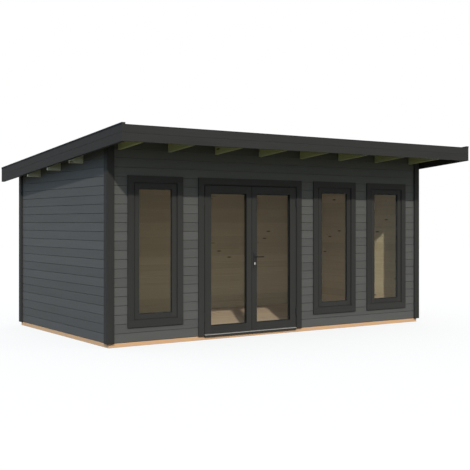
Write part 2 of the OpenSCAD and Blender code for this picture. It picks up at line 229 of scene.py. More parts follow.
floor_mesh = bpy.data.meshes.new("pale_floor")
disc = bmesh.new()
bmesh.ops.create_circle(disc, cap_ends=True, radius=FLOOR_RADIUS, segments=FLOOR_SIDES)
bmesh.ops.translate(disc, verts=disc.verts, vec=(0, 0, FLOOR_DROP))
disc.to_mesh(floor_mesh)
disc.free()
floor = add_object("pale_floor", floor_mesh)

floor_finish = bpy.data.materials.new("pale_floor")
tree = empty_tree(floor_finish)
shaded = add_node(tree, "BsdfDiffuse", {"Color": FLOOR_SEEN})
glow = add_node(tree, "Emission", {"Color": WHITE, "Strength": 1})
shown = add_node(tree, "MixShader", {0: FLOOR_GLOW, 1: shaded, 2: glow})
bounce = add_node(tree, "BsdfDiffuse", {"Color": FLOOR_BOUNCE})
floor_mix = add_node(tree, "MixShader", {0: any_ray(tree, *SEEN_RAYS), 1: bounce, 2: shown})
add_node(tree, "OutputMaterial", {"Surface": floor_mix})
floor_mesh.materials.append(floor_finish)
print("floor is a disc of", FLOOR_RADIUS, "m")

# %% [markdown]
# ## Timber has a direction
# Wood finishes follow the grain. Each board carries two attributes: "grain", its own
# coordinates with the length first, shifted to a fresh part of the log, and "tone", a lightness of its
# own. A UV map could hold the length too, but the attributes also run true round edges and into end grain.

# %% Read the grain in a finish
def new_finish(name, gloss):
    """A material and its Principled shader."""
    material = bpy.data.materials.new(name)
    tree = empty_tree(material)
    shader = add_node(tree, "BsdfPrincipled", {"Specular IOR Level": gloss})
    add_node(tree, "OutputMaterial", {"Surface": shader})
    return material, tree, shader


def dress(shader, colour, roughness, height, relief, depth):
    """Gives a shader its colour, its roughness and a fine relief."""
    bump = add_node(shader.id_data, "Bump", {"Height": height, "Strength": relief, "Distance": depth})
    fill_inputs(shader, {"Base Color": colour, "Roughness": roughness, "Normal": bump})


def along_grain(tree, scale):
    """The board's coordinates, scaled: few features along it, many across."""
    grain = add_node(tree, "Attribute", attribute_name="grain").outputs["Vector"]
    return add_node(tree, "Mapping", {"Vector": grain, "Scale": scale})


def board_tone(tree):
    return add_node(tree, "Attribute", attribute_name="tone").outputs["Fac"]


def noise(tree, vector, detail=3.0, roughness=0.5):
    inputs = {"Vector": vector, "Scale": 1.0, "Detail": detail, "Roughness": roughness}
    return add_node(tree, "TexNoise", inputs)


def shade(colour, factor):
    return tuple(value * factor for value in colour)


print("grain helpers ready")

# %% [markdown]
# ## Painted boards
# The outside is painted in two greys: a mid grey on the wall boards, and a darker one on the frames, trims
# and fascias. Paint on planed wood is never one flat colour. Fine streaks show the grain, wider patches
# show where it dried, and each board takes the paint a little differently.

# %% Mix the paints
MATT = 0.015
PAINT_STREAKS = (1.6, 70, 70)
PAINT_PATCHES = (0.8, 5, 5)
PAINT_DEPTHS = 0.0006
WALL_GREY = (0.114, 0.112, 0.108)
TRIM_GREY = (0.0463, 0.0448, 0.0428)


def painted_wood(name, colour, spread, roughness, relief):
    material, tree, shader = new_finish(name, MATT)
    streaks = noise(tree, along_grain(tree, PAINT_STREAKS), detail=6, roughness=0.65)
    patches = noise(tree, along_grain(tree, PAINT_PATCHES), detail=2)
    mixed = weigh(tree, (streaks, 0.45), (patches, 0.35), (board_tone(tree), 0.2))
    paint = ramp(tree, mixed, (0.22, shade(colour, 1 - spread)), (0.78, shade(colour, 1 + spread)))
    rough = around(tree, roughness, (streaks, 0.22), (patches, 0.12))
    dress(shader, paint, rough, streaks, relief, PAINT_DEPTHS)
    return material


wall_paint = painted_wood("wall_paint", WALL_GREY, 0.16, 0.62, 0.35)
trim_paint = painted_wood("trim_paint", TRIM_GREY, 0.20, 0.52, 0.25)
print("paints:", wall_paint.name, trim_paint.name)

# %% [markdown]
# ## Bare and treated timber
# Inside, the boards are bare pine, and so are the floor and the bearers. The roof's beams have a greenish
# preservative. One recipe serves all six woods: rings round the heart of the log, streaks along the board,
# and here and there a knot. A photo of wood would repeat, and this never does.

# %% Grow the wood
RING_STRETCH = (0.10, 1, 1)
RING_SCALE = 46
WOOD_STREAKS = (1.4, 85, 85)
WOOD_PATCHES = (0.7, 9, 9)
WOOD_RELIEF = 0.25
WOOD_DEPTHS = 0.0005
KNOT_CELL = (2.1, 8.5, 0)
KNOT_SHARE = 0.16


def knots(tree):
    """1 on a knot and 0 beside it; only a share of the cells has one."""
    cells = add_node(tree, "TexVoronoi", {"Vector": along_grain(tree, KNOT_CELL), "Scale": 1.0},
                     voronoi_dimensions="2D").outputs
    spot = ramp(tree, cells["Distance"], (0.05, (1, 1, 1)), (0.12, (0, 0, 0)))
    pick = add_node(tree, "SeparateColor", {0: cells["Color"]})
    kept = add_node(tree, "Math", {0: pick, 1: KNOT_SHARE}, operation="LESS_THAN")
    return add_node(tree, "Math", {0: spot, 1: kept}, operation="MULTIPLY")


def bare_wood(name, pale, dark, knot, roughness):
    material, tree, shader = new_finish(name, MATT)
    rings = add_node(tree, "TexWave", {
        "Vector": along_grain(tree, RING_STRETCH), "Scale": RING_SCALE, "Distortion": 5.0, "Detail": 3.0,
        "Detail Scale": 0.22}, wave_type="RINGS", rings_direction="X", wave_profile="SAW").outputs[1]
    streaks = noise(tree, along_grain(tree, WOOD_STREAKS), detail=5, roughness=0.6)
    patches = noise(tree, along_grain(tree, WOOD_PATCHES), detail=2)
    mixed = weigh(tree, (rings, 0.26), (streaks, 0.26), (patches, 0.2), (board_tone(tree), 0.28))
    clear_wood = ramp(tree, mixed, (0.2, pale), (0.85, dark))
    with_knots = add_node(tree, "MixRGB", {0: knots(tree), 1: clear_wood, 2: (*knot, 1)})
    height = weigh(tree, (rings, 0.5), (streaks, 0.5))
    dress(shader, with_knots, around(tree, roughness, (streaks, 0.2)), height, WOOD_RELIEF, WOOD_DEPTHS)
    return material


print("a knot in", KNOT_SHARE, "of the cells")

# %% Choose the woods
bare_pine = bare_wood("bare_pine", (0.755, 0.635, 0.43), (0.535, 0.43, 0.252), (0.16, 0.10, 0.05), 0.6)
floor_pine = bare_wood("floor_pine", (0.79, 0.605, 0.445), (0.62, 0.45, 0.305), (0.22, 0.13, 0.08), 0.55)
bearer_pine = bare_wood("bearer_pine", (0.86, 0.55, 0.33), (0.68, 0.39, 0.21), (0.32, 0.15, 0.08), 0.7)
treated_pine = bare_wood("treated_pine", (0.56, 0.56, 0.32), (0.38, 0.38, 0.21), (0.16, 0.14, 0.08), 0.65)
purlin_pine = bare_wood("purlin_pine", (0.63, 0.62, 0.47), (0.44, 0.43, 0.32), (0.19, 0.16, 0.10), 0.65)
# A lighter wood for the purlins' sawn ends: painted light, for the sun and sky that catch the ends.
sawn_pine = bare_wood("sawn_pine", (0.78, 0.74, 0.58), (0.58, 0.54, 0.40), (0.26, 0.20, 0.13), 0.75)
print("six woods ready")

# %% [markdown]
# ## Metal, glass and roofing felt
# The hinges and the handle are satin black, the lock is bright, and the threshold is plain aluminium. The
# panes are clear float glass. A glass shader by itself would keep the room dark, so lamps and daylight pass
# straight through the pane, and only what is seen is refracted. The roof has granulated felt. These need
# no grain, so they read the object's own coordinates.

# %% Cast the metals and the rubber
METAL_RELIEF = 0.15
METAL_DEPTHS = 0.0002


def object_noise(tree, scale, detail=3.0):
    coordinates = add_node(tree, "TexCoord").outputs["Object"]
    return noise(tree, add_node(tree, "Mapping", {"Vector": coordinates, "Scale": scale}), detail)


def metal(name, colour, metallic, roughness, scale, spread=0.2, gloss=0.5):
    """Metal or rubber, with faint clouds in its colour and roughness."""
    material, tree, shader = new_finish(name, gloss)
    shader.inputs["Metallic"].default_value = metallic
    cloud = object_noise(tree, scale)
    tint = ramp(tree, cloud, (0.3, shade(colour, 1 - spread)), (0.7, shade(colour, 1 + spread)))
    dress(shader, tint, around(tree, roughness, (cloud, 0.2)), cloud, METAL_RELIEF, METAL_DEPTHS)
    return material


black_metal = metal("black_metal", (0.016, 0.016, 0.017), 0.0, 0.38, (700, 700, 700), 0.2, 0.25)
lock_nickel = metal("lock_nickel", (0.86, 0.85, 0.82), 1.0, 0.22, (900, 60, 900), 0.06)
sill_aluminium = metal("sill_aluminium", (0.50, 0.49, 0.47), 1.0, 0.42, (6, 900, 900), 0.12)
screw_steel = metal("screw_steel", (0.10, 0.10, 0.10), 0.4, 0.45, (800, 800, 800))
black_rubber = metal("black_rubber", (0.014, 0.014, 0.015), 0.0, 0.7, (300, 300, 300), 0.25, MATT)
print("metals and rubber ready")

# %% Pour the glass
GLASS_GLOSS = 0.05
THIN_IOR = 1.22
GLASS_TINT = (0.93, 0.95, 0.93, 1)
FACE_TINT = tuple(math.sqrt(value) for value in GLASS_TINT)
RIPPLES = (1.3, 1.3, 1.3)
RIPPLE_RELIEF = 0.02
RIPPLE_DEPTHS = 0.01
DUST = (9, 9, 9)
DUST_SHARE = 0.02

clear_glass, tree, shader = new_finish("clear_glass", GLASS_GLOSS)
fill_inputs(shader, {"Transmission Weight": 1, "IOR": THIN_IOR})
dust = weigh(tree, (object_noise(tree, DUST), DUST_SHARE))
dress(shader, GLASS_TINT, dust, object_noise(tree, RIPPLES, 1), RIPPLE_RELIEF, RIPPLE_DEPTHS)
daylight = any_ray(tree, "Shadow", "Diffuse")
open_way = add_node(tree, "BsdfTransparent", {"Color": FACE_TINT})
lit_glass = add_node(tree, "MixShader", {0: daylight, 1: shader, 2: open_way})
fill_inputs(tree.get_output_node("ALL"), {"Surface": lit_glass})
print("glass ready")

# %% Roll the felt
FELT_BLACK = (0.028, 0.029, 0.031)
FELT_ROUGHNESS = 0.9
GRIT = (420, 420, 420)
GRIT_RELIEF = 0.6
GRIT_DEPTHS = 0.0012
WEATHER = (1.1, 2.3, 1.1)

felt, tree, shader = new_finish("roof_felt", MATT)
grit = object_noise(tree, GRIT, 2)
weathered = weigh(tree, (grit, 0.6), (object_noise(tree, WEATHER, 4), 0.4))
felt_tint = ramp(tree, weathered, (0.3, shade(FELT_BLACK, 0.62)), (0.7, shade(FELT_BLACK, 1.4)))
dress(shader, felt_tint, FELT_ROUGHNESS, grit, GRIT_RELIEF, GRIT_DEPTHS)
print("felt ready")

# %% [markdown]
# ## Boards on the bench
# Almost everything here is timber: straight lengths with lightly sanded edges. A cube scaled by hand would
# do for one board, but its edges would be razor sharp and its grain would run anywhere. So boards are made
# on a bench: a bmesh gets its shape, its edges are eased with a small bevel, and its grain is marked.

# %% Mark the grain
SEED = 7
LOG_LENGTH = 60
HEART_ASIDE = 0.05
HEART_BELOW = (0.03, 0.09)
chance = random.Random(SEED)


def fresh_cut():
    """Where in the log a board was cut, and how light it is."""
    return (chance.uniform(0, LOG_LENGTH), chance.uniform(-HEART_ASIDE, HEART_ASIDE),
            chance.uniform(*HEART_BELOW), chance.random())


def height_at(rule, y):
    """A height is a number, or a rule that follows y."""
    return rule(y) if callable(rule) else rule


class Parts:
    """The boards of one piece, before they become one mesh."""

    def __init__(self):
        self.points, self.faces, self.finishes = [], [], []
        self.grain, self.tones = [], []

    def add(self, stick, axis, finish, level=0.0):
        """Marks the grain of one board and takes it over; level is its underside, which may slope."""
        stick.verts.index_update()
        first = len(self.points)
        flat = [vert.co - Vector((0, 0, height_at(level, vert.co.y))) for vert in stick.verts]
        low, high = ([end(column) for column in zip(*flat)] for end in (min, max))
        length = "xyz".index(axis)
        width, depth = sorted({0, 1, 2} - {length}, key=lambda i: low[i] - high[i])
        slide, aside, heart, tone = fresh_cut()
        for vert, point in zip(stick.verts, flat):
            self.points.append(tuple(vert.co))
            self.grain.append((point[length] + slide, point[width] - low[width] + aside,
                               point[depth] - low[depth] + heart))
            self.tones.append(tone)
        for face in stick.faces:
            self.faces.append([first + vert.index for vert in face.verts])
            self.finishes.append(finish)
        stick.free()


print("grain starts from seed", SEED)

# %% Shape a length of timber
EASE = 0.0015
SOFT_EDGE = math.radians(20)


def close_rings(stick, rings):
    """Skins a row of point rings and closes both ends."""
    stick.faces.new(rings[0])
    stick.faces.new(rings[-1])
    for near, far in zip(rings, rings[1:]):
        for i in range(len(near)):
            j = (i + 1) % len(near)
            stick.faces.new((near[i], near[j], far[j], far[i]))
    bmesh.ops.recalc_face_normals(stick, faces=stick.faces[:])


def ease_edges(stick, ease):
    """Takes off sharp edges, and leaves the soft ones of a round outline."""
    if ease:
        sharp_edges = [edge for edge in stick.edges if edge.calc_face_angle() > SOFT_EDGE]
        bmesh.ops.bevel(stick, geom=sharp_edges, offset=ease, segments=1, profile=0.5,
                        affect="EDGES", clamp_overlap=True)


def place(axis, along, a, b):
    """A point along an axis, with its two other coordinates in x, y, z order."""
    return {"x": (along, a, b), "y": (a, along, b), "z": (a, b, along)}[axis]


def moulding(work, axis, start, end, profile, ease=EASE, finish=0):
    """A length of timber with any profile."""
    stick = bmesh.new()
    close_rings(stick, [[stick.verts.new(place(axis, at, a, b)) for a, b in profile]
                        for at in (start, end)])
    ease_edges(stick, ease)
    work.add(stick, axis, finish)


def board(work, x, y, under, over, axis, ease=EASE, finish=0):
    """A board between two x and two y, and between two heights that may follow y."""
    stick = bmesh.new()
    corners = [(x[0], y[0]), (x[1], y[0]), (x[1], y[1]), (x[0], y[1])]
    close_rings(stick, [[stick.verts.new((cx, cy, height_at(rule, cy))) for cx, cy in corners]
                        for rule in (under, over)])
    ease_edges(stick, ease)
    work.add(stick, axis, finish, under)


print("boards are eased by", EASE * 1000, "mm")

# %% [markdown]
# ## From bench to shed
# When all boards of a piece lie on the bench, they become one mesh object. It rides on the body that
# carries it, and takes the place of the plain solids it stands for.
# Solids whose shape is right only get a better finish.

# %% Put a piece up
SHARP_FROM = math.radians(32)


def mark_grain(mesh, grain, tones):
    for name, kind, key, values in (("grain", "FLOAT_VECTOR", "vector", [v for row in grain for v in row]),
                                    ("tone", "FLOAT", "value", tones)):
        layer = mesh.attributes.get(name) or mesh.attributes.new(name, kind, "POINT")
        layer.data.foreach_set(key, values)


def glue_up(work, name):
    mesh = bpy.data.meshes.new(name)
    mesh.from_pydata(work.points, [], work.faces)
    mesh.polygons.foreach_set("material_index", work.finishes)
    mark_grain(mesh, work.grain, work.tones)
    return add_object(name, mesh)


def put_up(piece, slot, finishes, *nodes, body="shed"):
    for finish in finishes:
        piece.data.materials.append(finish)
    piece.data.shade_smooth()
    piece.data.set_sharp_from_angle(angle=SHARP_FROM)
    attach(piece, body)
    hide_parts(*nodes)
    print(f"{piece.name}: {len(piece.data.polygons)} faces on {body}")


def refinish(finish, *nodes):
    for node in nodes:
        for slot in frame["nodes"][node].material_slots:
            slot.material = finish


print("ready to put pieces up")

# %% [markdown]
# ## The roof's slope
# The roof falls gently from front to back, and everything that meets it is cut to that slope. The fall is
# measured on the frame's roof boards. A rule that gives a height for each y then serves walls, beams,
# boards and felt alike.

# %% Measure the slope
DECK_T = 0.019
SEAT = 0.0003

deck_low, deck_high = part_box("roof_boards")
fall = (deck_high.z - deck_low.z - DECK_T) / (deck_high.y - deck_low.y)


def roof_line(lift=0.0):
    """The height of the roof boards' underside over y, raised by lift."""
    return lambda y: deck_high.z - DECK_T - (y - deck_low.y) * fall + lift


under_deck = roof_line(-SEAT)
print("roof falls", round(math.degrees(math.atan(fall)), 2), "degrees")

# %% [markdown]
# ## Rafters and purlins
# Eight rafters carry the canopy and show their feet under its edge. Three purlins run from side to side
# over the room and stick out under the side overhangs. Both are planed beams whose tops follow the roof,
# so they are boards with sloping rules. Their places are kept, because the walls are notched round them.

# %% Set the beams
BEAM_EASE = 0.004
RAFTER_W = 0.045
RAFTER_H = 0.120
RAFTER_COUNT = 8
PURLIN_W = 0.045
PURLIN_H = 0.195
PURLIN_COUNT = 3
END_GRAIN = 0.9


def spans(node):
    """A node's x, y and z, each from low to high."""
    return tuple(zip(*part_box(node)))


def spread(first, last, count):
    return [first + (last - first) * i / (count - 1) for i in range(count)]


rafter_x, rafter_y, _ = spans("canopy_rafters")
rafter_places = spread(rafter_x[0], rafter_x[1] - RAFTER_W, RAFTER_COUNT)
rafters = Parts()
for x in rafter_places:
    board(rafters, (x, x + RAFTER_W), rafter_y, roof_line(-RAFTER_H - SEAT), under_deck, "y", BEAM_EASE)
put_up(glue_up(rafters, "canopy_rafter_beams"), "treated_wood", [treated_pine], "canopy_rafters")

purlin_x, purlin_y, _ = spans("purlins")
purlin_places = spread(purlin_y[0], purlin_y[1] - PURLIN_W, PURLIN_COUNT)
purlins = Parts()
for y in purlin_places:
    board(purlins, purlin_x, (y, y + PURLIN_W), roof_line(-PURLIN_H - SEAT), under_deck, "x", BEAM_EASE)
purlin_beams = glue_up(purlins, "purlin_beams")
# The sawn ends take the lighter wood, a painted highlight for the light that falls on them.
for polygon in purlin_beams.data.polygons:
    polygon.material_index = int(abs(polygon.normal.x) > END_GRAIN)
put_up(purlin_beams, "treated_wood", [purlin_pine, sawn_pine], "purlins")

# %% [markdown]
# ## Stacked wall boards
# The walls are thick boards laid on edge, one course on the next. Each has a lip along its lower edge that
# throws a thin shadow on the course below: those lines make the wall read as boards. A tongue on
# top fits the groove of the next board, so that no light comes through the joint. Every wall starts as a
# plain stack of full-length boards. A Boolean modifier then cuts the roof's slope, the openings and the
# notches for the beams, which is how a joiner would saw them too.

# %% Cut boards with a Boolean
def cut_away(piece, blocks):
    """Takes blocks out of a mesh and applies the result."""
    cutter = glue_up(blocks, "cutter")
    cut = piece.modifiers.new("cut", "BOOLEAN")
    cut.object = cutter
    cut.operation = "DIFFERENCE"
    cut.solver = "EXACT"
    evaluated = piece.evaluated_get(bpy.context.evaluated_depsgraph_get())
    result = bpy.data.meshes.new_from_object(evaluated)
    result.name = piece.name
    piece.modifiers.clear()
    piece.data = result
    bpy.data.objects.remove(cutter)


print("saw ready")

# %% Draw a wall board
COURSE = 0.114
COURSE_JOINT = 0.0006
LIP = 0.0064
PAINT_DEPTH = 0.020
TOP_EASE = 0.002
INNER_V = 0.003
TONGUE_T = 0.012
TONGUE_H = 0.008

wall_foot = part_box("front_bearer")[1].z


def course_profile(face, back, course):
    """The section of one wall board."""
    inward = math.copysign(1, back - face)
    bottom = wall_foot + course * COURSE + COURSE_JOINT / 2
    top = bottom + COURSE - COURSE_JOINT
    groove = [face + inward * PAINT_DEPTH, face + inward * (PAINT_DEPTH + TONGUE_T)]
    tongue = [groove[0] + inward * COURSE_JOINT, groove[1] - inward * COURSE_JOINT]
    return [(face + inward * LIP, bottom), (groove[0], bottom), (groove[0], bottom + TONGUE_H),
            (groove[1], bottom + TONGUE_H), (groove[1], bottom), (back - inward * INNER_V, bottom),
            (back, bottom + INNER_V), (back, top - INNER_V), (back - inward * INNER_V, top),
            (tongue[1], top), (tongue[1], top + TONGUE_H), (tongue[0], top + TONGUE_H), (tongue[0], top),
            (face + inward * TOP_EASE, top), (face, top - TOP_EASE), (face, bottom + LIP)]


print("courses of", COURSE, "m from", round(wall_foot, 3), "m")

# %% Stack a wall
ABOVE_ROOF = 0.4

above_roof = Parts()
x, y, _ = zip(*cad_box)
board(above_roof, x, y, under_deck, roof_line(ABOVE_ROOF), "x", 0)


def stack_wall(name, axis, corners, face_at, cuts, *nodes):
    """Builds one wall; face_at tells which of its two corners is on the outer face."""
    length = "xy".index(axis)
    through = 1 - length
    face, back = corners[face_at][through], corners[1 - face_at][through]
    courses = math.ceil((corners[1].z - wall_foot) / COURSE)
    stack = Parts()
    for course in range(courses):
        moulding(stack, axis, corners[0][length], corners[1][length], course_profile(face, back, course), 0)
    wall = glue_up(stack, name)
    for blocks in cuts:
        cut_away(wall, blocks)
    cuttings = [fresh_cut() for course in range(courses)]
    grain, tones = [], []
    for vert in wall.data.vertices:
        course = min(int((vert.co.z - wall_foot) / COURSE), courses - 1)
        slide, aside, heart, tone = cuttings[course]
        grain.append((vert.co[length] + slide, vert.co.z - wall_foot - course * COURSE + aside,
                      abs(vert.co[through] - face) + heart))
        tones.append(tone)
    mark_grain(wall.data, grain, tones)
    for polygon in wall.data.polygons:
        polygon.material_index = int(abs(polygon.center[through] - face) > PAINT_DEPTH)
    put_up(wall, "wall_boards", [wall_paint, bare_pine], *nodes)


print("walls can be stacked")

# %% [markdown]
# ## The four walls
# The front wall has four openings: three windows and a doorway. Their size follows from the frames that
# fill them, less the part of the casing that covers the wall. The back wall is whole, and the side walls
# have a notch for each purlin.

# %% Build the walls
CASING_W = 0.084
REVEAL = 0.010
LINING_T = 0.024
NOTCH_PLAY = 0.001
SIDEWAYS = 0.2
WINDOWS = ("left", "middle", "right")

casing_cover = CASING_W + REVEAL - LINING_T
front_openings = Parts()
front_low, front_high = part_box("front_wall_left")[0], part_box("front_wall_right")[1]
front_through = (front_low.y - SIDEWAYS, front_high.y + SIDEWAYS)
for node in [f"{side}_window_frame" for side in WINDOWS] + ["door_frame"]:
    low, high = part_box(node)
    foot = low.z + casing_cover if low.z > wall_foot else low.z - SIDEWAYS
    board(front_openings, (low.x + casing_cover, high.x - casing_cover), front_through, foot,
          high.z - casing_cover, "x", 0)
for x in rafter_places:
    board(front_openings, (x - NOTCH_PLAY, x + RAFTER_W + NOTCH_PLAY), front_through,
          roof_line(-RAFTER_H - 2 * SEAT), roof_line(ABOVE_ROOF), "x", 0)
stack_wall("front_wall_boards", "x", (front_low, front_high), 0, [above_roof, front_openings],
           "front_wall_left", "front_wall_right", "front_wall_header")
stack_wall("back_wall_boards", "x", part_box("back_wall"), 1, [above_roof], "back_wall")

for side, face_at in (("left", 0), ("right", 1)):
    low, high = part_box(f"{side}_wall")
    notches = Parts()
    for y in purlin_places:
        board(notches, (low.x - SIDEWAYS, high.x + SIDEWAYS), (y - NOTCH_PLAY, y + PURLIN_W + NOTCH_PLAY),
              roof_line(-PURLIN_H - 2 * SEAT), roof_line(ABOVE_ROOF), "x", 0)
    stack_wall(f"{side}_wall_boards", "y", (low, high), face_at, [above_roof, notches], f"{side}_wall")

# %% [markdown]
# ## Corner boards
# Two boards cover each corner of the stack: a wide one on the front or back, and a narrower one on the side
# that butts against it. One L-shaped bar would look the same from afar, but the joint shows from near by.

# %% Cover the corners
TRIM_T = 0.026
TRIM_EASE = 0.003
HANDS = ("left", "right")

for end in ("front", "back"):
    for side in HANDS:
        node = f"{end}_{side}_corner_trim"
        low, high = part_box(node)
        face_y = (low.y, low.y + TRIM_T) if end == "front" else (high.y - TRIM_T, high.y)
        side_y = (face_y[1], high.y) if end == "front" else (low.y, face_y[0])
        side_x = (low.x, low.x + TRIM_T) if side == "left" else (high.x - TRIM_T, high.x)
        corner = Parts()
        for x, y in (((low.x, high.x), face_y), (side_x, side_y)):
            board(corner, x, y, low.z, under_deck, "z", TRIM_EASE)
        put_up(glue_up(corner, f"{end}_{side}_corner_boards"), "trim_wood", [trim_paint], node)

# %% [markdown]
# ## Window frames
# Each window is a box of lining boards in the wall, a casing of four flat boards on the outside, and a stop
# behind the sash. The casing stands back a little from the lining's edge, and that step is the line round
# the sash; a narrow strip closes the gap beside it. Joiners butt such boards: head and foot run across,
# uprights stand between. The paint ends at the strip, and inside the boards are bare.

# %% Butt boards round an opening
STOP_W = 0.014
STOP_T = 0.018
STRIP_D = 0.012
wall_face = front_low.y


def butted_frame(work, x, z, width, y, foot=True, ease=EASE, finish=0):
    """Boards round an opening, seen from the front; x and z are its outer edges."""
    board(work, x, y, z[1] - width, z[1], "x", ease, finish)
    if foot:
        board(work, x, y, z[0], z[0] + width, "x", ease, finish)
    for left in (x[0], x[1] - width):
        board(work, (left, left + width), y, z[0] + width * foot, z[1] - width, "z", ease, finish)


def grown(span, by):
    return span[0] - by, span[1] + by


def opening_frame(work, x, z, faces, foot, inside=0):
    """Casing, lining and stop round the clear opening x by z; faces are their depths."""
    casing_face, stop_face, back = faces
    strip_back = wall_face + STRIP_D
    for reach, width, y, finish in (
            (REVEAL + CASING_W, CASING_W, (casing_face, wall_face), 0),
            (LINING_T, LINING_T, (wall_face, strip_back), 0),
            (LINING_T, LINING_T, (strip_back, back), inside),
            (0, STOP_W, (stop_face, back), inside)):
        outer_z = (z[0] - reach * foot, z[1] + reach)
        butted_frame(work, grown(x, reach), outer_z, width, y, foot, EASE, finish)


print("casings cover the wall by", round(casing_cover * 1000), "mm")

# %% Join the window frames
for side in WINDOWS:
    x, y, z = spans(f"{side}_window_frame")
    clear_x, clear_z = (grown(span, -REVEAL - CASING_W) for span in (x, z))
    casing = Parts()
    opening_frame(casing, clear_x, clear_z, (y[0], y[1] - STOP_T, y[1]), True, 1)
    strip_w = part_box(f"{side}_window_sash")[0].x - clear_x[0]
    butted_frame(casing, clear_x, clear_z, strip_w, (wall_face, wall_face + STRIP_D), True, 0)
    put_up(glue_up(casing, f"{side}_window_casing"), "trim_wood", [trim_paint, bare_pine],
           f"{side}_window_frame")

# %% [markdown]
# ## Sashes and their glass
# A sash is two stiles and two rails with a groove for the pane. A black rubber strip seals it outside, and
# a sloped bead holds it inside. The groove is part of the profile, so the glass of the frame fits as it
# would on the real sash. The outside has the trim's paint, and the inside the wall's. The doors are made of
# the same parts, so the helpers take the widths of the stiles and rails.

# %% Make a glazed frame
BEAD = 0.009
BEAD_SLOPE = 0.005
RUBBER_T = 0.002
RUBBER_IN = 0.003
GLASS_LAP = 0.010


def grooved(width, y, glass, lean=0.0):
    """The section of a stile or rail from its outer edge inwards; lean slopes the outer edge."""
    return [(0, y[0]), (width, y[0]), (width, glass[0]), (width - GLASS_LAP, glass[0]),
            (width - GLASS_LAP, glass[1]), (width, glass[1]), (width, y[1]), (lean, y[1])]


def bead_frame(work, x, z, y):
    """Beads round a pane, square against its back at y and sloped on the room side."""
    section = [(0, y), (BEAD, y), (BEAD, y + BEAD - BEAD_SLOPE), (BEAD - BEAD_SLOPE, y + BEAD),
               (0, y + BEAD)]
    for edge, inward in ((z[1], -1), (z[0], 1)):
        moulding(work, "x", *x, [(b, edge + inward * a) for a, b in section], 0)
    for edge, inward in ((x[0], 1), (x[1], -1)):
        moulding(work, "z", z[0] + BEAD, z[1] - BEAD, [(edge + inward * a, b) for a, b in section], 0)


def glazed_frame(work, x, z, y, glass, left_w, right_w, rail_w, leans=(0.0, 0.0)):
    """Stiles, rails, rubber strips and beads; glass gives the front and back of the pane."""
    left, right = grooved(left_w, y, glass, leans[0]), grooved(right_w, y, glass, leans[1])
    moulding(work, "z", *z, [(x[0] + a, b) for a, b in left])
    moulding(work, "z", *z, [(x[1] - a, b) for a, b in right])
    rail = grooved(rail_w, y, glass)
    inner_x = (x[0] + left_w, x[1] - right_w)
    moulding(work, "x", *inner_x, [(b, z[0] + a) for a, b in rail])
    moulding(work, "x", *inner_x, [(b, z[1] - a) for a, b in rail])
    inner_z = grown(z, -rail_w)
    butted_frame(work, inner_x, inner_z, RUBBER_T, (y[0] + RUBBER_IN, glass[0]), True, 0, 1)
    bead_frame(work, inner_x, inner_z, glass[1])


print("panes stand", GLASS_LAP * 1000, "mm deep in their grooves")

# %% Glaze the windows and doors
SASH_W = 0.062
SASH_FINISHES = [trim_paint, black_rubber, wall_paint]

for side in WINDOWS:
    x, y, z = spans(f"{side}_window_sash")
    pane = spans(f"{side}_window_glass")[1]
    sash = Parts()
    glazed_frame(sash, x, z, y, pane, SASH_W, SASH_W, SASH_W)
    sash_frame = glue_up(sash, f"{side}_window_sash_frame")
    for polygon in sash_frame.data.polygons:
        if polygon.center.y > pane[1] + SEAT:
            polygon.material_index = SASH_FINISHES.index(wall_paint)
    put_up(sash_frame, "trim_wood", SASH_FINISHES, f"{side}_window_sash")

refinish(clear_glass, *[f"{side}_window_glass" for side in WINDOWS], "left_door_glass", "right_door_glass")
print("five panes glazed")

# %% [markdown]
# ## The doorway
# The doorway has the same casing, lining and stop as the windows, but its uprights stand on the bearer and
# a threshold takes the place of the foot. That threshold is a dark sill that laps over the bearer, with a
# ribbed aluminium tread on top, which catches the light as one bright line under the doors. The lap is a
# painted shadow: its dark paint stands for the shade that the tread throws on the top of the bearer.

# %% Join the door frame
x, y, z = spans("door_frame")
doorway = Parts()
opening_frame(doorway, grown(x, -REVEAL - CASING_W), (z[0], z[1] - REVEAL - CASING_W),
              (y[0], y[1] - STOP_T, y[1]), False)
put_up(glue_up(doorway, "door_casing"), "trim_wood", [trim_paint], "door_frame")

# %% Lay the threshold
TREAD_T = 0.010
RIB_H = 0.0015
RIB_STEP = 0.009
# Across a rib, in shares of the step and of the rib's height
RIB = ((0.40, 1), (0.30, 0), (-0.20, 0), (-0.30, 1))
NOSE = 0.004
# How far the dark sill reaches down the bearer's face: a painted shadow of the tread.
SILL_SHADOW_LAP = 0.016

low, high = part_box("door_threshold")
bearer_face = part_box("front_bearer")[0].y - SEAT
tread_foot = high.z - TREAD_T
tread = [(low.y, tread_foot), (high.y, tread_foot), (high.y, high.z - RIB_H)]
rib_y = high.y - RIB_STEP
while rib_y > low.y + NOSE + RIB_STEP:
    tread += [(rib_y + RIB_STEP * along, high.z - RIB_H * down) for along, down in RIB]
    rib_y -= RIB_STEP
tread += [(low.y + NOSE, high.z - RIB_H), (low.y, high.z - NOSE)]
threshold = Parts()
# The sill's lap over the bearer paints the shadow that the tread throws there.
moulding(threshold, "x", low.x, high.x, [
    (low.y + NOSE, low.z - SILL_SHADOW_LAP), (bearer_face, low.z - SILL_SHADOW_LAP), (bearer_face, low.z + SEAT),
    (high.y, low.z + SEAT), (high.y, tread_foot), (low.y + NOSE, tread_foot)], EASE, 1)
moulding(threshold, "x", low.x, high.x, tread, 0)
put_up(glue_up(threshold, "door_tread"), "threshold_metal", [sill_aluminium, trim_paint], "door_threshold")

# %% [markdown]
# ## The door leaves
# Both leaves are glazed frames with a wide hinge stile and a narrower meeting stile. Where the leaves meet,
# their edges lean so that one can swing past the other. They ride on their own bodies, so everything that
# is screwed to a leaf moves with it.

# %% Hang the doors
HINGE_STILE_W = 0.098
MEETING_STILE_W = 0.082
RAIL_W = 0.100
MEETING_LEAN = 0.004

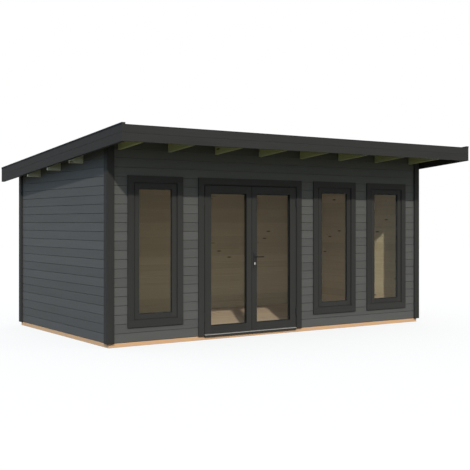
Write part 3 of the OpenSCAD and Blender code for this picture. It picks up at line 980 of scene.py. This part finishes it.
for side, order in zip(HANDS, (1, -1)):
    x, y, z = spans(f"{side}_door_leaf")
    widths, leans = (HINGE_STILE_W, MEETING_STILE_W)[::order], (0.0, MEETING_LEAN)[::order]
    leaf = Parts()
    glazed_frame(leaf, x, z, y, spans(f"{side}_door_glass")[1], *widths, RAIL_W, leans)
    put_up(glue_up(leaf, f"{side}_door_frame"), "trim_wood", [trim_paint, black_rubber],
           f"{side}_door_leaf", body=f"{side}_door")

# %% [markdown]
# ## Turned parts
# Hinge caps, screws and the lever are round. They could start as cylinders, but a turned part is drawn
# better the way a lathe makes it: an outline of radii along an axis, spun round it.

# %% The lathe
LATHE_SIDES = 28
DOME_STEPS = 6
DOME_TIP = 0.02


def turned(work, axis, centre, outline, finish=0):
    """Spins an outline of (place along the axis, radius) round an axis through centre."""
    stick = bmesh.new()
    length = "xyz".index(axis)
    first, second = (centre[i] for i in range(3) if i != length)
    turns = [2 * math.pi * i / LATHE_SIDES for i in range(LATHE_SIDES)]
    close_rings(stick, [[stick.verts.new(place(axis, centre[length] + along, first + radius * math.cos(turn),
                                               second + radius * math.sin(turn))) for turn in turns]
                        for along, radius in outline])
    work.add(stick, axis, finish)


def dome(radius, height):
    """The outline of a low dome that stands on 0."""
    turns = [math.pi / 2 * i / DOME_STEPS for i in range(DOME_STEPS + 1)]
    return [(height * math.sin(turn), max(radius * math.cos(turn), radius * DOME_TIP)) for turn in turns]


def flipped(outline):
    return [(-along, radius) for along, radius in outline]


print("lathe ready")

# %% [markdown]
# ## Hinges
# Each leaf turns on two pin hinges that stand in the groove between casing and leaf. The frame already has
# their knuckles and pins, so those get the black finish, and each hinge gets a turned cap above and below.

# %% Cap the hinges
KNUCKLE_H = 0.048
KNUCKLE_R = 0.007
CAP_H = 0.006
joints = {joint["name"]: joint for joint in frame["joints"]}

refinish(black_metal, "door_hinge_pins", "left_door_knuckles", "right_door_knuckles")
pins_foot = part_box("door_hinge_pins")[0].z
foot_caps = Parts()
for side in HANDS:
    x, y, _ = joints[f"{side}_door_hinge"]["pos_m"]
    low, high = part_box(f"{side}_door_knuckles")
    caps = Parts()
    for top in (low.z + KNUCKLE_H, high.z):
        turned(caps, "z", (x, y, top), dome(KNUCKLE_R, CAP_H))
    put_up(glue_up(caps, f"{side}_hinge_caps"), "dark_metal", [black_metal], body=f"{side}_door")
    for foot in (pins_foot, pins_foot + high.z - low.z - KNUCKLE_H):
        turned(foot_caps, "z", (x, y, foot), flipped(dome(KNUCKLE_R, CAP_H)))
put_up(glue_up(foot_caps, "hinge_foot_caps"), "dark_metal", [black_metal])

# %% [markdown]
# ## Handle plates and lock
# The lever and the lock sit on long black plates with round ends, one on each face of the right leaf. A
# plate is a moulding too: its outline is two half circles joined by straight sides, run through its
# thickness. So is the bright lock: a circle with a tongue below, and a dark keyway on its face.

# %% Fit the plates
PLATE_EASE = 0.002
SCREW_R = 0.0042
SCREW_H = 0.0016
SCREW_IN = 0.014
ARC_STEPS = 12


def arc(x, z, radius, start, end, count):
    return [(x + radius * math.cos(turn), z + radius * math.sin(turn)) for turn in spread(start, end, count)]


def stadium(x, z, width, height):
    """An upright outline with half-round ends."""
    radius, rise = width / 2, (height - width) / 2
    return (arc(x, z + rise, radius, 0, math.pi, ARC_STEPS + 1)
            + arc(x, z - rise, radius, math.pi, 2 * math.pi, ARC_STEPS + 1))


low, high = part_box("handle_plates")
leaf_low, leaf_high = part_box("right_door_leaf")
plate_x = (low.x + high.x) / 2
outline = stadium(plate_x, (low.z + high.z) / 2, high.x - low.x, high.z - low.z)
plates = Parts()
moulding(plates, "y", low.y, leaf_low.y, outline, PLATE_EASE)
moulding(plates, "y", leaf_high.y, high.y, outline, PLATE_EASE)
for z in (low.z + SCREW_IN, high.z - SCREW_IN):
    turned(plates, "y", (plate_x, low.y, z), flipped(dome(SCREW_R, SCREW_H)), 1)
    turned(plates, "y", (plate_x, high.y, z), dome(SCREW_R, SCREW_H), 1)
put_up(glue_up(plates, "handle_plate_pair"), "dark_metal", [black_metal, screw_steel], "handle_plates",
       body="right_door")

# %% Fit the lock
KEYWAY = (0.0022, 0.0085)
KEYWAY_PROUD = 0.0003
TONGUE_W = 0.010
TONGUE_DROP = 0.0245
LOCK_RISE = 0.008
LOCK_EASE = 0.0008


def lock_outline(x, z, radius):
    """A circle with a round-ended tongue below it."""
    meet = math.asin(TONGUE_W / 2 / radius)
    foot_z = z - TONGUE_DROP + TONGUE_W / 2
    return (arc(x, z, radius, meet - math.pi / 2, 1.5 * math.pi - meet, 2 * ARC_STEPS)
            + arc(x, foot_z, TONGUE_W / 2, math.pi, 2 * math.pi, ARC_STEPS))


low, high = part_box("door_lock")
lock_x, lock_z = (low.x + high.x) / 2, (low.z + high.z) / 2 + LOCK_RISE
keyway_x = (lock_x - KEYWAY[0] / 2, lock_x + KEYWAY[0] / 2)
lock = Parts()
moulding(lock, "y", low.y, high.y, lock_outline(lock_x, lock_z, (high.x - low.x) / 2), LOCK_EASE)
for face in (low.y, high.y):
    board(lock, keyway_x, (face - KEYWAY_PROUD, face + KEYWAY_PROUD), lock_z - KEYWAY[1] / 2,
          lock_z + KEYWAY[1] / 2, "z", 0, 1)
put_up(glue_up(lock, "lock_cylinder"), "lock_metal", [lock_nickel, black_metal], "door_lock",
       body="right_door")

# %% [markdown]
# ## The lever
# One spindle runs through the leaf and carries a grip on each side, so the whole lever turns as one body.
# Spindle, collars and grips are turned parts: each grip swells a little towards its end to sit in the hand.

# %% Turn the lever
SPINDLE_R = 0.006
COLLAR = ((0.0006, 0.0095), (0.0040, 0.0105), (0.0080, 0.0100), (0.0100, 0.0070))
# Places and radii of the grip, as shares: its round start, then its length
GRIP_START = ((-1.0, 0.06), (-0.92, 0.4), (-0.6, 0.8))
GRIP_LENGTH = ((0.0, 1.0), (0.14, 0.93), (0.35, 0.86), (0.65, 0.9), (0.88, 1.0), (0.95, 0.9), (0.985, 0.6),
               (1.0, 0.06))

low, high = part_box("door_lever")
pivot_x, _, pivot_z = joints["lever_turn"]["pos_m"]
plate_low, plate_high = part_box("handle_plates")
grip_r = (high.z - low.z) / 2
grip_l = high.x - pivot_x
grip = [(along * grip_r, share * grip_r) for along, share in GRIP_START]
grip += [(along * grip_l, share * grip_r) for along, share in GRIP_LENGTH]

lever = Parts()
turned(lever, "y", (pivot_x, 0, pivot_z), [(low.y + grip_r, SPINDLE_R), (high.y - grip_r, SPINDLE_R)])
for y, plate_y, out in ((low.y + grip_r, plate_low.y, -1), (high.y - grip_r, plate_high.y, 1)):
    turned(lever, "x", (pivot_x, y, pivot_z), grip)
    turned(lever, "y", (pivot_x, plate_y, pivot_z), [(out * along, radius) for along, radius in COLLAR])
put_up(glue_up(lever, "door_lever_handle"), "dark_metal", [black_metal], "door_lever", body="lever")

# %% [markdown]
# ## Bearers, joists and floor
# The walls stand on low bearers that show as a pale line along the ground. Joists run between them, and the
# floor is laid across the joists in tongued boards whose end joints are staggered. Only the cut-out at the
# doorway needs the Boolean again.

# %% Lay the base
BEARER_EASE = 0.003
JOIST_W = 0.045
JOIST_COUNT = 7
BEARERS = {"front_bearer": "x", "back_bearer": "x", "left_bearer": "y", "right_bearer": "y"}

bearers = Parts()
for node, axis in BEARERS.items():
    x, y, z = spans(node)
    board(bearers, x, y, *z, axis, BEARER_EASE)
put_up(glue_up(bearers, "base_bearers"), "bare_wood", [bearer_pine], *BEARERS)

joist_x, y, z = spans("floor_joists")
joists = Parts()
for x in spread(joist_x[0], joist_x[1] - JOIST_W, JOIST_COUNT):
    board(joists, (x, x + JOIST_W), y, *z, "y", BEARER_EASE)
put_up(glue_up(joists, "floor_joist_beams"), "bare_wood", [bearer_pine], "floor_joists")

# %% Lay the floor boards
FLOOR_BOARD_W = 0.1145
FLOOR_JOINT = 0.0008
FLOOR_PLAY = 0.005
STAGGER = (0.38, 0.62, 0.5)

low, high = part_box("floor_boards")
rows = round((high.y - low.y) / FLOOR_BOARD_W)
row_w = (high.y - low.y) / rows
floor_boards = Parts()
for row in range(rows):
    y = (low.y + row * row_w, low.y + (row + 1) * row_w - FLOOR_JOINT)
    joint = low.x + (high.x - low.x) * STAGGER[row % len(STAGGER)]
    for x in ((low.x, joint), (joint + FLOOR_JOINT, high.x)):
        board(floor_boards, x, y, low.z, high.z, "x")
door_low, door_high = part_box("door_frame")
threshold_gap = Parts()
board(threshold_gap, (door_low.x + casing_cover - FLOOR_PLAY, door_high.x - casing_cover + FLOOR_PLAY),
      (low.y - SIDEWAYS, door_high.y + FLOOR_PLAY), low.z - SIDEWAYS, high.z + SIDEWAYS, "x", 0)
laid = glue_up(floor_boards, "floor_planks")
cut_away(laid, threshold_gap)
put_up(laid, "bare_wood", [floor_pine], "floor_boards")

# %% [markdown]
# ## Roof boards
# Tongued boards run from the front edge to the back and show their undersides between the rafters. Their
# edges are eased, so that the joints show from below. One sheet would be simpler, but quite flat.

# %% Deck the roof
ROOF_BOARD_W = 0.115
ROOF_BOARD_EASE = 0.003

count = round((deck_high.x - deck_low.x) / ROOF_BOARD_W)
roof_board_w = (deck_high.x - deck_low.x) / count
deck = Parts()
for i in range(count):
    x = deck_low.x + i * roof_board_w
    board(deck, (x, x + roof_board_w - COURSE_JOINT), (deck_low.y, deck_high.y), roof_line(),
          roof_line(DECK_T), "y", ROOF_BOARD_EASE)
put_up(glue_up(deck, "roof_deck_boards"), "treated_wood", [treated_pine], "roof_boards")

# %% [markdown]
# ## Roofing felt
# The felt is rolled out across the slope, from the low back edge upwards, and each sheet laps over the one
# below it. At the back it folds down over the fascia as a drip. A single slab would hide all that, so every
# sheet is a thin profile that steps up where it lies on its neighbour.

# %% Roll out the felt
FELT_T = 0.0022
LAP = 0.08
SHEETS = 4
DRIP = 0.045

felt_low, felt_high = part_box("roof_covering")
felt_bed = roof_line(DECK_T + SEAT)
sheet_d = (felt_high.y - felt_low.y + (SHEETS - 1) * LAP) / SHEETS
covering = Parts()
for sheet in range(SHEETS):
    y0 = felt_low.y + sheet * (sheet_d - LAP)
    y1 = y0 + sheet_d
    if sheet < SHEETS - 1:
        under = [(y0, 0), (y1 - LAP - FELT_T, 0), (y1 - LAP, FELT_T), (y1, FELT_T)]
        section = [(y, felt_bed(y) + lift) for y, lift in under]
        section += [(y, felt_bed(y) + lift + FELT_T) for y, lift in reversed(under)]
    else:
        edge = felt_bed(y1)
        section = [(y0, felt_bed(y0)), (y1, edge), (y1, edge - DRIP), (y1 + FELT_T, edge - DRIP),
                   (y1 + FELT_T, edge + FELT_T), (y0, felt_bed(y0) + FELT_T)]
    moulding(covering, "x", felt_low.x, felt_high.x, section, 0)
put_up(glue_up(covering, "roof_felt_sheets"), "roof_felt", [felt], "roof_covering")

# %% [markdown]
# ## Fascias and their edge strips
# Painted boards close the roof's edges: at the front and sides two of them, one above the other, so a fine
# line runs along the middle of each fascia. The side boards are cut to the slope and run past the front and
# back ones. Along the top a thin strip of felt draws a dark line.

# %% Nail on the fascias
FASCIA_EASE = 0.0018
FASCIA_JOINT = 0.0004


def halves(under, over):
    """The heights of two boards, one above the other."""
    middle = (under + over) / 2
    return (under, middle - FASCIA_JOINT / 2), (middle + FASCIA_JOINT / 2, over)


def fascia(side, axis, heights, name):
    """Painted boards along one edge of the roof."""
    x, y, _ = spans(f"{side}_fascia")
    boards = Parts()
    for under, over in heights:
        board(boards, x, y, under, over, axis, FASCIA_EASE)
    put_up(glue_up(boards, name), "trim_wood", [trim_paint], f"{side}_fascia")


_, y, z = spans("left_fascia")
side_rise = z[1] - roof_line()(y[0])
side_drop = z[0] - roof_line()(y[1])
for side in HANDS:
    heights = [(roof_line(under), roof_line(over)) for under, over in halves(side_drop, side_rise)]
    fascia(side, "y", heights, f"{side}_fascia_boards")
fascia("front", "x", halves(*spans("front_fascia")[2]), "front_fascia_boards")
_, y, z = spans("back_fascia")
back_drop = z[0] - roof_line()(y[1])
fascia("back", "x", [(roof_line(back_drop), roof_line(DECK_T))], "back_fascia_board")

# %% Cover the roof's edge
STRIP_T = 0.002
FRONT_DROP = 0.005
SIDE_DROP = 0.022

strips = Parts()
low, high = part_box("front_fascia")
moulding(strips, "x", low.x, high.x, [
    (low.y - STRIP_T, high.z - FRONT_DROP), (low.y, high.z - FRONT_DROP), (low.y, high.z), (high.y, high.z),
    (high.y, high.z + STRIP_T), (low.y - STRIP_T, high.z + STRIP_T)], 0)
for side in HANDS:
    x, y, _ = spans(f"{side}_fascia")
    outer = (x[0] - STRIP_T, x[0]) if side == "left" else (x[1], x[1] + STRIP_T)
    top = (x[0] - STRIP_T, x[1]) if side == "left" else (x[0], x[1] + STRIP_T)
    board(strips, top, y, roof_line(side_rise), roof_line(side_rise + STRIP_T), "y", 0)
    board(strips, outer, y, roof_line(side_rise - SIDE_DROP), roof_line(side_rise), "y", 0)
put_up(glue_up(strips, "roof_edge_strips"), "roof_felt", [felt])
